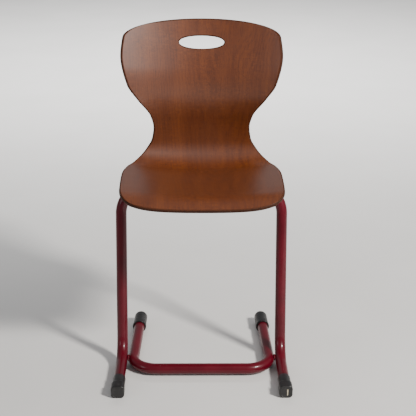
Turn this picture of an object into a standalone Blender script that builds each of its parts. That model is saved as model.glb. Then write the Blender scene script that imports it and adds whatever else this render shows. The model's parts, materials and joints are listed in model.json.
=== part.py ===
"""Stacking chair: one moulded plywood shell on a welded two-tube steel frame.

Metres, +Z up, front towards -Y, +X to the right of someone facing the chair.
The origin is the floor point under the middle of the frame's length and width.
"""

import math

import bmesh
import bpy
from mathutils import Matrix, Vector

# ---- shared clearance between pieces that touch on the real chair
GAP = 0.0003

# ---- steel tube
TUBE_OD = 0.026
TUBE_WALL = 0.002
TUBE_SEGMENTS = 20
BEND_STEP = math.radians(8.0)

# ---- floor plan of the frame
FRAME_LENGTH = 0.399
LEG_SPACING = 0.3826
LEG_ROOT_FROM_REAR = 0.2158
LEG_LEAN = math.radians(10.2)
LEG_BEND_RADIUS = 0.060
SHOULDER_RADIUS = 0.068
CROSSBAR_FROM_REAR = 0.289
FLOOR_BEND_RADIUS = 0.056
FLOOR_TO_LEG_GAP = 0.0004
RUNNER_TOE_IN = 0.0076

# ---- moulded end caps
CAP_WALL = 0.0014
SOLE_WALL = 0.0022
CAP_END_WALL = 0.005
TUBE_END_GAP = 0.001
FRONT_CAP_LENGTH = 0.061
FRONT_BLOCK_LENGTH = 0.026
FRONT_BLOCK_SIDE_WALL = 0.0020
FRONT_BLOCK_TOP_WALL = 0.0015
FRONT_BLOCK_CORNER = 0.0085
REAR_CAP_LENGTH = 0.064
REAR_CAP_WALL = 0.0030
REAR_RIM_STEP = 0.0009
REAR_RIM_LENGTH = 0.006
REAR_END_ROUND = 0.007
CAP_SEGMENTS = 28

# ---- plywood shell, side profile from the front edge to the top edge
PLY_THICKNESS = 0.0093
PLY_EDGE_ROUND = 0.003
LIP_RADIUS = 0.127
LIP_DROP = math.radians(30.0)
PAN_LENGTH = 0.217
PAN_SLOPE = math.radians(2.9)
PAN_REAR_BEHIND_TUBE = 0.032
PAN_REAR_HEIGHT = 0.4523
HIP_RADIUS = 0.054
HIP_TURN = math.radians(93.0)
LUMBAR_LOWER_RADIUS = 0.212
LUMBAR_LOWER_TURN = math.radians(17.5)
LUMBAR_UPPER_RADIUS = 0.242
BACK_RECLINE = math.radians(12.0)
BACK_STRAIGHT = 0.1134

# ---- plywood shell, half widths measured along the profile
FRONT_HALF_WIDTH = 0.1806
SEAT_HALF_WIDTH = 0.1847
SEAT_REAR_HALF_WIDTH = 0.1748
HIP_HALF_WIDTH = 0.1618
NECK_HALF_WIDTH = 0.1345
WAIST_LOWER_HALF_WIDTH = 0.1196
WAIST_HALF_WIDTH = 0.1150
WAIST_UPPER_HALF_WIDTH = 0.1209
SHOULDER_HALF_WIDTH = 0.1523
BACK_LOWER_HALF_WIDTH = 0.1718
BACK_HALF_WIDTH = 0.1858
TOP_HALF_WIDTH = 0.1757
SEAT_WIDEST_AT = 0.199
SEAT_REAR_AT = 0.2842
HIP_AT = 0.3141
NECK_AT = 0.3539
WAIST_LOWER_AT = 0.379
WAIST_AT = 0.411
WAIST_UPPER_AT = 0.4437
SHOULDER_AT = 0.4936
BACK_LOWER_AT = 0.5235
BACK_WIDEST_AT = 0.585
FRONT_CORNER_LENGTH = 0.112
FRONT_CORNER_POWER = 4.4
TOP_CORNER_LENGTH = 0.0448
TOP_CORNER_POWER = 2.05

# ---- plywood shell, hollow across the width, as one over the radius
FRONT_HOLLOW = 0.42
SEAT_HOLLOW = 0.81
HIP_HOLLOW = 0.92
WAIST_HOLLOW = 0.69
LUMBAR_HOLLOW = 1.45
BACK_HOLLOW = 2.51
TOP_HOLLOW = 2.45

# ---- grip slot in the backrest
GRIP_WIDTH = 0.105
GRIP_HEIGHT = 0.030
GRIP_FROM_TOP = 0.0551
GRIP_POWER = 2.1

# ---- shell mesh
SHELL_COLUMNS = 20
SHELL_ROWS = 40
GRIP_COLUMNS = 8
GRIP_ROWS = 4
GRIP_RINGS = 2

# ---- seat fixing
BEARER_X = 0.075
BEARER_WIDTH = 0.030
BEARER_THICKNESS = 0.0032
BEARER_FRONT = 0.112
BEARER_REAR = 0.032
BEARER_CORNER = 0.006
PAD_MINIMUM = 0.0020
PAD_INSET = 0.002
FRONT_SCREW_FROM_TUBE = 0.096
REAR_SCREW_FROM_TUBE = 0.0225
SCREW_RADIUS = 0.0024
SCREW_HEAD_OVERHANG = 0.0023
SCREW_HEAD_HEIGHT = 0.0032
SCREW_SOCKET_RADIUS = 0.0019
SCREW_SOCKET_DEPTH = 0.0018
SCREW_HOLE_CLEARANCE = 0.0007
WASHER_OVERHANG = 0.0010
WASHER_THICKNESS = 0.0012
INSERT_WALL = 0.0013
INSERT_LENGTH = 0.0059
FIXING_SEGMENTS = 16

# ---- welds
FOOT_WELD_RADIUS = 0.0027
FOOT_WELD_LENGTH = 0.020
FOOT_WELD_FROM_REAR = 0.242
BEARER_WELD_START = 0.005
BEARER_WELD_END = 0.0108
BEARER_WELD_LENGTH = 0.023

# ---- values that follow from the sizes above
TUBE_RADIUS = TUBE_OD / 2
HALF_LENGTH = FRAME_LENGTH / 2
LEG_X = LEG_SPACING / 2
RUNNER_X = LEG_X - TUBE_OD - FLOOR_TO_LEG_GAP
CAP_BORE = TUBE_RADIUS + GAP
FRONT_SLEEVE_RADIUS = CAP_BORE + CAP_WALL
FLOOR_AXIS_Z = CAP_BORE + SOLE_WALL
FRONT_BLOCK_WIDTH = 2 * (CAP_BORE + FRONT_BLOCK_SIDE_WALL)
FRONT_BLOCK_TOP = CAP_BORE + FRONT_BLOCK_TOP_WALL
REAR_CAP_RADIUS = CAP_BORE + REAR_CAP_WALL
REAR_RIM_RADIUS = REAR_CAP_RADIUS + REAR_RIM_STEP
SCREW_HEAD_RADIUS = SCREW_RADIUS + SCREW_HEAD_OVERHANG
SCREW_HOLE_RADIUS = SCREW_RADIUS + SCREW_HOLE_CLEARANCE
WASHER_RADIUS = SCREW_HEAD_RADIUS + WASHER_OVERHANG
INSERT_RADIUS = SCREW_RADIUS + GAP + INSERT_WALL

# ---- the frame's cross run hangs under the pan by the fixing stack
FIXING_STACK = PLY_THICKNESS + PAD_MINIMUM + BEARER_THICKNESS + 3 * GAP + TUBE_RADIUS
PAN_HEIGHT_AT_TUBE = PAN_REAR_HEIGHT + PAN_REAR_BEHIND_TUBE * math.tan(PAN_SLOPE)
CROSS_UP = PAN_HEIGHT_AT_TUBE - FIXING_STACK / math.cos(PAN_SLOPE)
CROSS_FORWARD = LEG_ROOT_FROM_REAR - (CROSS_UP - FLOOR_AXIS_Z) * math.tan(LEG_LEAN)
PAN_REAR_FROM_REAR = CROSS_FORWARD - PAN_REAR_BEHIND_TUBE


def to_y(from_rear):
    """World Y of a distance measured forward from the rear ends of the frame."""
    return HALF_LENGTH - from_rear


# ---------------------------------------------------------------- scene helpers


def clear_scene():
    for obj in list(bpy.data.objects):
        bpy.data.objects.remove(obj)
    for mesh in list(bpy.data.meshes):
        bpy.data.meshes.remove(mesh)
    for material in list(bpy.data.materials):
        bpy.data.materials.remove(material)


def make_material(name, colour, roughness, metallic):
    material = bpy.data.materials.new(name)
    material.use_nodes = True
    shader = material.node_tree.nodes["Principled BSDF"]
    shader.inputs["Base Color"].default_value = (*colour, 1.0)
    shader.inputs["Roughness"].default_value = roughness
    shader.inputs["Metallic"].default_value = metallic
    material.diffuse_color = (*colour, 1.0)
    return material


def make_object(name, points, faces, material, smooth_angle=40.0):
    """One closed mesh object, normals outward, smooth except across sharp edges."""
    mesh = bpy.data.meshes.new(name)
    mesh.from_pydata([tuple(p) for p in points], [], faces)
    build = bmesh.new()
    build.from_mesh(mesh)
    bmesh.ops.remove_doubles(build, verts=build.verts, dist=1e-6)
    bmesh.ops.recalc_face_normals(build, faces=build.faces)
    for face in build.faces:
        face.smooth = True
    for edge in build.edges:
        if len(edge.link_faces) == 2:
            edge.smooth = edge.calc_face_angle() < math.radians(smooth_angle)
    build.to_mesh(mesh)
    build.free()
    obj = bpy.data.objects.new(name, mesh)
    if material is not None:
        mesh.materials.append(material)
    bpy.context.scene.collection.objects.link(obj)
    return obj


def make_cutter(name, points, faces):
    cutter = make_object(name, points, faces, None)
    cutter.hide_render = True
    cutter.display_type = "WIRE"
    return cutter


def subtract(obj, cutter):
    cut = obj.modifiers.new(cutter.name, "BOOLEAN")
    cut.operation = "DIFFERENCE"
    cut.solver = "EXACT"
    cut.object = cutter


def stitch(loops, closed_start=True, closed_end=True, ring=False):
    """Faces joining equal loops of points in order, with flat ends or as a ring."""
    count = len(loops[0])
    points = [p for loop in loops for p in loop]
    faces = []
    spans = len(loops) if ring else len(loops) - 1
    for i in range(spans):
        near = i * count
        far = ((i + 1) % len(loops)) * count
        for j in range(count):
            k = (j + 1) % count
            faces.append((near + j, near + k, far + k, far + j))
    if not ring and closed_start:
        faces.append(tuple(reversed(range(count))))
    if not ring and closed_end:
        faces.append(tuple(range((len(loops) - 1) * count, len(loops) * count)))
    return points, faces


# ---------------------------------------------------------------- bent tube


def bent_path(corners, radii):
    """Centre line through corners, each inner corner rounded to its bend radius."""
    path = [Vector(corners[0])]
    for before, corner, after, radius in zip(corners, corners[1:], corners[2:], radii):
        corner = Vector(corner)
        back = (Vector(before) - corner).normalized()
        ahead = (Vector(after) - corner).normalized()
        turn = math.pi - back.angle(ahead)
        reach = radius * math.tan(turn / 2)
        start = corner + back * reach
        centre = corner + (back + ahead).normalized() * (radius / math.cos(turn / 2))
        axis = (start - centre).cross(-back).normalized()
        steps = max(2, round(turn / BEND_STEP))
        for i in range(steps + 1):
            swing = Matrix.Rotation(turn * i / steps, 3, axis)
            path.append(centre + swing @ (start - centre))
    path.append(Vector(corners[-1]))
    return path


def path_frames(path):
    """Point, side vector and up vector at each point, carried along without twist."""
    tangents = []
    for i in range(len(path)):
        ahead = path[min(i + 1, len(path) - 1)] - path[i]
        behind = path[i] - path[max(i - 1, 0)]
        tangents.append((ahead.normalized() + behind.normalized()).normalized())
    side = tangents[0].orthogonal().normalized()
    frames = []
    for i, tangent in enumerate(tangents):
        if i:
            side = tangents[i - 1].rotation_difference(tangent) @ side
        side = (side - tangent * side.dot(tangent)).normalized()
        frames.append((path[i], side, tangent.cross(side)))
    return frames


def circle_loops(frames, radius, segments):
    loops = []
    for centre, side, up in frames:
        loop = []
        for j in range(segments):
            angle = 2 * math.pi * j / segments
            loop.append(centre + radius * (side * math.cos(angle) + up * math.sin(angle)))
        loops.append(loop)
    return loops


def make_tube(name, path, material):
    """Hollow bent tube: outer wall out, inner wall back, ring faces at both ends."""
    frames = path_frames(path)
    outer = circle_loops(frames, TUBE_RADIUS, TUBE_SEGMENTS)
    inner = circle_loops(frames, TUBE_RADIUS - TUBE_WALL, TUBE_SEGMENTS)
    points, faces = stitch(outer + inner[::-1], ring=True)
    return make_object(name, points, faces, material)


# ---------------------------------------------------------------- shell surface


def profile_runs():
    """Side profile as (length, turn) runs. A positive turn bends up towards the back."""
    return (
        (LIP_RADIUS * LIP_DROP, -LIP_DROP),
        (PAN_LENGTH, 0.0),
        (HIP_RADIUS * HIP_TURN, HIP_TURN),
        (LUMBAR_LOWER_RADIUS * LUMBAR_LOWER_TURN, LUMBAR_LOWER_TURN),
        (
            LUMBAR_UPPER_RADIUS * (LUMBAR_LOWER_TURN + BACK_RECLINE),
            -(LUMBAR_LOWER_TURN + BACK_RECLINE),
        ),
        (BACK_STRAIGHT, 0.0),
    )


def along_run(start, heading, length, turn, s):
    """Point and heading after s along a run, in (forward, up) terms."""
    bend = turn * s / length
    if abs(turn) < 1e-9:
        chord = s
    else:
        chord = 2 * (length / turn) * math.sin(bend / 2)
    aim = heading + bend / 2
    return (
        start[0] - math.cos(aim) * chord,
        start[1] + math.sin(aim) * chord,
        heading + bend,
    )


def profile_nodes():
    """Start point, heading and arc length of each run, placed by the rear of the pan."""
    nodes = []
    point = (0.0, 0.0)
    heading = LIP_DROP - PAN_SLOPE
    s = 0.0
    for length, turn in profile_runs():
        nodes.append((s, point, heading, length, turn))
        forward, up, heading = along_run(point, heading, length, turn, length)
        point = (forward, up)
        s += length
    pan_end = nodes[2][1]
    shift = (PAN_REAR_FROM_REAR - pan_end[0], PAN_REAR_HEIGHT - pan_end[1])
    placed = []
    for start, point, heading, length, turn in nodes:
        moved = (point[0] + shift[0], point[1] + shift[1])
        placed.append((start, moved, heading, length, turn))
    return placed


PROFILE = profile_nodes()
SHELL_LENGTH = PROFILE[-1][0] + PROFILE[-1][3]
PAN_START = PROFILE[1][0]
PAN_END = PROFILE[2][0]
HIP_END = PROFILE[3][0]


def profile_at(s):
    """(forward, up, heading) of the sitting surface on the centre line."""
    run = PROFILE[0]
    for candidate in PROFILE:
        if candidate[0] <= s:
            run = candidate
    start, point, heading, length, turn = run
    return along_run(point, heading, length, turn, s - start)


def smooth_through(stations, values, s):
    """Monotone cubic through the stations, without overshoot."""
    last = len(stations) - 1
    s = min(max(s, stations[0]), stations[last])
    steps = [stations[i + 1] - stations[i] for i in range(last)]
    slopes = [(values[i + 1] - values[i]) / steps[i] for i in range(last)]
    tangents = [0.0] * (last + 1)
    for i in range(1, last):
        if slopes[i - 1] * slopes[i] > 0:
            w1 = 2 * steps[i] + steps[i - 1]
            w2 = steps[i] + 2 * steps[i - 1]
            tangents[i] = (w1 + w2) / (w1 / slopes[i - 1] + w2 / slopes[i])
    k = 0
    while k < last - 1 and s > stations[k + 1]:
        k += 1
    t = (s - stations[k]) / steps[k]
    return (
        values[k] * (1 + 2 * t) * (1 - t) ** 2
        + steps[k] * tangents[k] * t * (1 - t) ** 2
        + values[k + 1] * t * t * (3 - 2 * t)
        + steps[k] * tangents[k + 1] * t * t * (t - 1)
    )


def half_width(s):
    """Half width of the outline before its corners are rounded."""
    stations = (
        0.0,
        SEAT_WIDEST_AT,
        SEAT_REAR_AT,
        HIP_AT,
        NECK_AT,
        WAIST_LOWER_AT,
        WAIST_AT,
        WAIST_UPPER_AT,
        SHOULDER_AT,
        BACK_LOWER_AT,
        BACK_WIDEST_AT,
        SHELL_LENGTH,
    )
    widths = (
        FRONT_HALF_WIDTH,
        SEAT_HALF_WIDTH,
        SEAT_REAR_HALF_WIDTH,
        HIP_HALF_WIDTH,
        NECK_HALF_WIDTH,
        WAIST_LOWER_HALF_WIDTH,
        WAIST_HALF_WIDTH,
        WAIST_UPPER_HALF_WIDTH,
        SHOULDER_HALF_WIDTH,
        BACK_LOWER_HALF_WIDTH,
        BACK_HALF_WIDTH,
        TOP_HALF_WIDTH,
    )
    return smooth_through(stations, widths, s)


def hollow(s):
    stations = (
        0.0,
        PAN_START + 0.040,
        PAN_END,
        HIP_END - 0.010,
        HIP_END + 0.060,
        HIP_END + 0.130,
        SHELL_LENGTH,
    )
    curves = (
        FRONT_HOLLOW,
        SEAT_HOLLOW,
        HIP_HOLLOW,
        WAIST_HOLLOW,
        LUMBAR_HOLLOW,
        BACK_HOLLOW,
        TOP_HOLLOW,
    )
    return smooth_through(stations, curves, s)


def face_point(x, s, offset=0.0):
    """Point of the sitting surface, or of a sheet at an offset along its normal."""
    forward, up, heading = profile_at(s)
    rise = hollow(s) * x * x / 2
    base = Vector((x, -(forward + math.sin(heading) * rise), up + math.cos(heading) * rise))
    if offset == 0.0:
        return base
    return base + face_normal(x, s) * offset


def face_normal(x, s):
    """Unit normal on the sitter's side."""
    d = 0.0005
    across = face_point(x + d, s) - face_point(x - d, s)
    along = face_point(x, s + d) - face_point(x, s - d)
    return across.cross(along).normalized()


def placed(point):
    """Shell points are kept from the rear ends of the frame; this moves them to world Y."""
    return Vector((point.x, point.y + HALF_LENGTH, point.z))


def signed_power(value, power):
    return math.copysign(abs(value) ** power, value)


def outline_point(side, level):
    """Outline of the shell in (x, s). side runs -1..1 and level runs -1..1 as on a
    square whose corners sit in the middle of the rounded corners."""
    if abs(side) >= abs(level):
        front = FRONT_CORNER_LENGTH * (1 - 0.5 ** (1 / FRONT_CORNER_POWER))
        top = SHELL_LENGTH - TOP_CORNER_LENGTH * (1 - 0.5 ** (1 / TOP_CORNER_POWER))
        blend = (level / abs(side) + 1) / 2
        s = front + (top - front) * blend
        return math.copysign(edge_half(s), side), s
    power = FRONT_CORNER_POWER if level < 0 else TOP_CORNER_POWER
    across = 0.5 ** (1 / power) * side / abs(level)
    drop = (1 - abs(across) ** power) ** (1 / power)
    if level < 0:
        s = FRONT_CORNER_LENGTH * (1 - drop)
    else:
        s = SHELL_LENGTH - TOP_CORNER_LENGTH * (1 - drop)
    return across * half_width(s), s


def edge_half(s):
    """Half width with the corner rounding applied."""
    share = 1.0
    if s < FRONT_CORNER_LENGTH:
        deep = (FRONT_CORNER_LENGTH - s) / FRONT_CORNER_LENGTH
        share = (1 - deep ** FRONT_CORNER_POWER) ** (1 / FRONT_CORNER_POWER)
    from_top = SHELL_LENGTH - s
    if from_top < TOP_CORNER_LENGTH:
        deep = (TOP_CORNER_LENGTH - from_top) / TOP_CORNER_LENGTH
        share = (1 - deep ** TOP_CORNER_POWER) ** (1 / TOP_CORNER_POWER)
    return share * half_width(s)


def sheet_point(u, v):
    """Blend of the four outline sides: a smooth grid over the whole outline."""
    left = outline_point(-1.0, v)
    right = outline_point(1.0, v)
    front = outline_point(u, -1.0)
    top = outline_point(u, 1.0)
    corners = (
        outline_point(-1.0, -1.0),
        outline_point(1.0, -1.0),
        outline_point(-1.0, 1.0),
        outline_point(1.0, 1.0),
    )
    a = (u + 1) / 2
    b = (v + 1) / 2
    result = []
    for i in range(2):
        sides = (1 - a) * left[i] + a * right[i]
        ends = (1 - b) * front[i] + b * top[i]
        mix = (
            (1 - a) * (1 - b) * corners[0][i]
            + a * (1 - b) * corners[1][i]
            + (1 - a) * b * corners[2][i]
            + a * b * corners[3][i]
        )
        result.append(sides + ends - mix)
    return tuple(result)


def grip_point(angle):
    """Edge of the grip slot in (x, s)."""
    x = GRIP_WIDTH / 2 * signed_power(math.cos(angle), 2 / GRIP_POWER)
    rise = GRIP_HEIGHT / 2 * signed_power(math.sin(angle), 2 / GRIP_POWER)
    return x, SHELL_LENGTH - GRIP_FROM_TOP + rise


def sheet_mesh():
    """Flat layout of the shell as (x, s) points, quads, outer loop and slot loop."""
    columns = SHELL_COLUMNS
    rows = SHELL_ROWS
    points = []
    for j in range(rows + 1):
        for i in range(columns + 1):
            points.append(sheet_point(2 * i / columns - 1, 2 * j / rows - 1))

    def index(i, j):
        return j * (columns + 1) + i

    middle = SHELL_LENGTH - GRIP_FROM_TOP
    row_s = [points[index(columns // 2, j)][1] for j in range(rows + 1)]
    nearest = min(range(rows + 1), key=lambda j: abs(row_s[j] - middle))
    left = columns // 2 - GRIP_COLUMNS // 2
    right = left + GRIP_COLUMNS
    low = min(nearest - GRIP_ROWS // 2, rows - GRIP_ROWS - 2)
    high = low + GRIP_ROWS
    faces = []
    for j in range(rows):
        for i in range(columns):
            if left <= i < right and low <= j < high:
                continue
            faces.append((index(i, j), index(i + 1, j), index(i + 1, j + 1), index(i, j + 1)))
    block = [index(i, low) for i in range(left, right)]
    block += [index(right, j) for j in range(low, high)]
    block += [index(i, high) for i in range(right, left, -1)]
    block += [index(left, j) for j in range(high, low, -1)]
    angles = []
    for b in block:
        x, s = points[b]
        across = signed_power(x / GRIP_WIDTH, GRIP_POWER / 2)
        rise = signed_power((s - middle) / GRIP_HEIGHT, GRIP_POWER / 2)
        angles.append(math.atan2(rise, across))
    even = spread(angles)
    previous = block
    for ring in range(1, GRIP_RINGS + 1):
        share = ring / GRIP_RINGS
        current = []
        for b, angle in zip(block, even):
            edge = grip_point(angle)
            x = points[b][0] * (1 - share) + edge[0] * share
            s = points[b][1] * (1 - share) + edge[1] * share
            current.append(len(points))
            points.append((x, s))
        for k in range(len(block)):
            m = (k + 1) % len(block)
            faces.append((previous[k], previous[m], current[m], current[k]))
        previous = current
    outer = [index(i, 0) for i in range(columns)]
    outer += [index(columns, j) for j in range(rows)]
    outer += [index(i, rows) for i in range(columns, 0, -1)]
    outer += [index(0, j) for j in range(rows, 0, -1)]
    return points, faces, outer, previous[::-1]


def spread(angles):
    """The same angles made to rise steadily, half way to even spacing."""
    count = len(angles)
    rising = [angles[0]]
    for angle in angles[1:]:
        while angle <= rising[-1]:
            angle += 2 * math.pi
        rising.append(angle)
    even = [rising[0] + 2 * math.pi * k / count for k in range(count)]
    return [0.5 * a + 0.5 * b for a, b in zip(rising, even)]


def edge_section():
    """Rounded plywood edge as (outward, up) offsets from the top face to the bottom."""
    half = PLY_THICKNESS / 2
    steps = 2
    section = []
    for i in range(steps + 1):
        angle = math.pi / 2 * (1 - i / steps)
        section.append(
            (
                PLY_EDGE_ROUND * math.cos(angle) - PLY_EDGE_ROUND,
                half - PLY_EDGE_ROUND + PLY_EDGE_ROUND * math.sin(angle),
            )
        )
    return section + [(out, -up) for out, up in section[::-1]]


def make_shell(material):
    flat, quads, outer, grip = sheet_mesh()
    points = []
    faces = []
    half = PLY_THICKNESS / 2
    loops = (outer, grip)
    inset = {}
    for loop in loops:
        for k, vertex in enumerate(loop):
            here = flat[vertex]
            before = flat[loop[k - 1]]
            after = flat[loop[(k + 1) % len(loop)]]
            run = Vector((after[0] - before[0], after[1] - before[1])).normalized()
            inset[vertex] = (here, Vector((run.y, -run.x)))
    for offset in (0.0, -PLY_THICKNESS):
        for i, (x, s) in enumerate(flat):
            if i in inset:
                outward = inset[i][1] * PLY_EDGE_ROUND
                points.append(placed(face_point(x - outward.x, s - outward.y, offset)))
            else:
                points.append(placed(face_point(x, s, offset)))
    count = len(flat)
    for quad in quads:
        faces.append(quad)
        faces.append(tuple(count + v for v in reversed(quad)))
    section = edge_section()
    for loop in loops:
        rows = [list(loop)]
        for out, up in section[1:-1]:
            row = []
            for vertex in loop:
                (x, s), outward = inset[vertex]
                row.append(len(points))
                points.append(
                    placed(face_point(x + outward.x * out, s + outward.y * out, up - half))
                )
            rows.append(row)
        rows.append([count + v for v in loop])
        for near, far in zip(rows, rows[1:]):
            for k in range(len(loop)):
                m = (k + 1) % len(loop)
                faces.append((near[k], near[m], far[m], far[k]))
    shell = make_object("seat_shell", points, faces, material, smooth_angle=60.0)
    return shell


# ---------------------------------------------------------------- seat fixing frame


def station_of(from_rear):
    """Profile length at which the straight pan is this far forward of the rear."""
    return PAN_END - (from_rear - PAN_REAR_FROM_REAR) / math.cos(PAN_SLOPE)


PAN_BACKWARD = Vector((0.0, math.cos(PAN_SLOPE), -math.sin(PAN_SLOPE)))
PAN_NORMAL = Vector((0.0, math.sin(PAN_SLOPE), math.cos(PAN_SLOPE)))
CROSS_AXIS = Vector((0.0, to_y(CROSS_FORWARD), CROSS_UP))
BEARER_UNDER = TUBE_RADIUS + GAP
BEARER_TOP = BEARER_UNDER + BEARER_THICKNESS
PAD_UNDER = BEARER_TOP + GAP
PAN_UNDER = PAD_UNDER + PAD_MINIMUM + GAP


def pan_local(x, back, above):
    """Point by its distance back from the cross run and above the tube's axis."""
    return CROSS_AXIS + Vector((x, 0.0, 0.0)) + PAN_BACKWARD * back + PAN_NORMAL * above


def pan_underside(x, back):
    """Height of the shell's underside above the cross run's axis at (x, back)."""
    s = station_of(CROSS_FORWARD) + back
    under = placed(face_point(x, s, -PLY_THICKNESS))
    return (under - CROSS_AXIS).dot(PAN_NORMAL)


def turned(x, back, rows, segments, start_angle=0.0):
    """Loops for a piece turned about the pan's normal: rows are (radius, above)."""
    loops = []
    for radius, above in rows:
        loop = []
        for j in range(segments):
            angle = start_angle + 2 * math.pi * j / segments
            loop.append(
                pan_local(
                    x + radius * math.cos(angle),
                    back + radius * math.sin(angle),
                    above,
                )
            )
        loops.append(loop)
    return loops


def rounded_plate(half_x, back_0, back_1, corner):
    """Rounded rectangle as (x, back) points."""
    outline = []
    steps = 4
    spots = (
        (half_x - corner, back_1 - corner, 0),
        (-half_x + corner, back_1 - corner, 1),
        (-half_x + corner, back_0 + corner, 2),
        (half_x - corner, back_0 + corner, 3),
    )
    for cx, cb, quarter in spots:
        for i in range(steps + 1):
            angle = math.pi / 2 * (quarter + i / steps)
            outline.append((cx + corner * math.cos(angle), cb + corner * math.sin(angle)))
    return outline


def screw_places():
    return (-FRONT_SCREW_FROM_TUBE, REAR_SCREW_FROM_TUBE)


def hole_cutter(name, x, back, radius, low, high):
    loops = turned(x, back, ((radius, low), (radius, high)), FIXING_SEGMENTS)
    points, faces = stitch(loops)
    return make_cutter(name, points, faces)


def make_bearer(side, name, material):
    x = side * BEARER_X
    outline = rounded_plate(BEARER_WIDTH / 2, -BEARER_FRONT, BEARER_REAR, BEARER_CORNER)
    loops = []
    for above in (BEARER_UNDER, BEARER_TOP):
        loops.append([pan_local(x + px, back, above) for px, back in outline])
    points, faces = stitch(loops)
    bearer = make_object(name, points, faces, material)
    for k, back in enumerate(screw_places()):
        cutter = hole_cutter(
            f"cut_{name}_{k}", x, back, SCREW_HOLE_RADIUS, BEARER_UNDER - 0.004, BEARER_TOP + 0.004
        )
        subtract(bearer, cutter)
    return bearer


def make_pad(side, name, material):
    """Flat below, shaped to the hollow of the seat above."""
    x = side * BEARER_X
    half = BEARER_WIDTH / 2 - PAD_INSET
    first = -BEARER_FRONT + PAD_INSET
    last = BEARER_REAR - PAD_INSET
    across = 4
    along = 12
    low = []
    high = []
    for j in range(along + 1):
        for i in range(across + 1):
            px = x - half + 2 * half * i / across
            back = first + (last - first) * j / along
            low.append(pan_local(px, back, PAD_UNDER))
            high.append(pan_local(px, back, pan_underside(px, back) - GAP))
    count = len(low)
    faces = []
    for j in range(along):
        for i in range(across):
            a = j * (across + 1) + i
            b = a + across + 1
            faces.append((a, b, b + 1, a + 1))
            faces.append((count + a, count + a + 1, count + b + 1, count + b))
    rim = [i for i in range(across + 1)]
    rim += [j * (across + 1) + across for j in range(1, along + 1)]
    rim += [along * (across + 1) + i for i in range(across - 1, -1, -1)]
    rim += [j * (across + 1) for j in range(along - 1, 0, -1)]
    for k in range(len(rim)):
        m = (k + 1) % len(rim)
        faces.append((rim[k], rim[m], count + rim[m], count + rim[k]))
    pad = make_object(name, low + high, faces, material, smooth_angle=30.0)
    for k, back in enumerate(screw_places()):
        cutter = hole_cutter(
            f"cut_{name}_{k}", x, back, SCREW_HOLE_RADIUS, PAD_UNDER - 0.004, PAN_UNDER + 0.012
        )
        subtract(pad, cutter)
    return pad


def make_fixing(tag, x, back, shell, zinc, brass):
    """One screw, its washer and the threaded insert in a blind pocket of the shell."""
    under = pan_underside(x, back)
    pocket = hole_cutter(
        f"cut_pocket_{tag}",
        x,
        back,
        INSERT_RADIUS + GAP,
        under - 0.003,
        under + INSERT_LENGTH + 2 * GAP,
    )
    subtract(shell, pocket)
    bore = SCREW_RADIUS + GAP
    rows = (
        (bore, under + GAP),
        (INSERT_RADIUS, under + GAP),
        (INSERT_RADIUS, under + GAP + INSERT_LENGTH),
        (bore, under + GAP + INSERT_LENGTH),
    )
    points, faces = stitch(turned(x, back, rows, FIXING_SEGMENTS), ring=True)
    make_object(f"threaded_insert_{tag}", points, faces, brass)

    washer_top = BEARER_UNDER - GAP
    washer_low = washer_top - WASHER_THICKNESS
    rows = (
        (bore, washer_low),
        (WASHER_RADIUS, washer_low),
        (WASHER_RADIUS, washer_top),
        (bore, washer_top),
    )
    points, faces = stitch(turned(x, back, rows, FIXING_SEGMENTS), ring=True)
    make_object(f"washer_{tag}", points, faces, zinc)

    seat = washer_low - GAP
    head_low = seat - SCREW_HEAD_HEIGHT
    tip = under + INSERT_LENGTH - 0.0008
    rows = (
        (SCREW_SOCKET_RADIUS, head_low + SCREW_SOCKET_DEPTH),
        (SCREW_SOCKET_RADIUS, head_low),
        (SCREW_HEAD_RADIUS * 0.70, head_low),
        (SCREW_HEAD_RADIUS * 0.92, head_low + SCREW_HEAD_HEIGHT * 0.25),
        (SCREW_HEAD_RADIUS, head_low + SCREW_HEAD_HEIGHT * 0.65),
        (SCREW_HEAD_RADIUS, seat),
        (SCREW_RADIUS, seat),
        (SCREW_RADIUS, tip - 0.0008),
        (SCREW_RADIUS * 0.7, tip),
    )
    points, faces = stitch(turned(x, back, rows, FIXING_SEGMENTS))
    make_object(f"seat_screw_{tag}", points, faces, zinc)


def make_bearer_weld(side, end, name, material):
    """Fillet between the underside of a bearer and the front or rear of the tube."""
    reach = TUBE_RADIUS + GAP
    section = [(BEARER_WELD_START, BEARER_UNDER - GAP), (BEARER_WELD_END, BEARER_UNDER - GAP)]
    steps = 4
    for i in range(steps + 1):
        back = BEARER_WELD_END + (BEARER_WELD_START - BEARER_WELD_END) * i / steps
        section.append((back, math.sqrt(reach * reach - back * back) + 0.0001))
    shrink = ((-0.5, 0.55), (-0.42, 0.9), (-0.2, 1.0), (0.2, 1.0), (0.42, 0.9), (0.5, 0.55))
    middle_back = sum(p[0] for p in section) / len(section)
    middle_above = sum(p[1] for p in section) / len(section)
    loops = []
    for share, size in shrink:
        x = side * BEARER_X + BEARER_WELD_LENGTH * share
        loop = []
        for back, above in section:
            inner_back = middle_back + (back - middle_back) * size
            inner_above = middle_above + (above - middle_above) * size
            loop.append(pan_local(x, end * inner_back, inner_above))
        loops.append(loop)
    points, faces = stitch(loops)
    return make_object(name, points, faces, material)


# ---------------------------------------------------------------- frame


def arch_path():
    """Front foot, bent up into the leaning leg, over the cross run and down again."""
    front = to_y(FRAME_LENGTH - CAP_END_WALL - TUBE_END_GAP)
    root = to_y(LEG_ROOT_FROM_REAR)
    top = to_y(CROSS_FORWARD)
    corners = (
        (-LEG_X, front, FLOOR_AXIS_Z),
        (-LEG_X, root, FLOOR_AXIS_Z),
        (-LEG_X, top, CROSS_UP),
        (LEG_X, top, CROSS_UP),
        (LEG_X, root, FLOOR_AXIS_Z),
        (LEG_X, front, FLOOR_AXIS_Z),
    )
    radii = (LEG_BEND_RADIUS, SHOULDER_RADIUS, SHOULDER_RADIUS, LEG_BEND_RADIUS)
    return bent_path(corners, radii)


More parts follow.
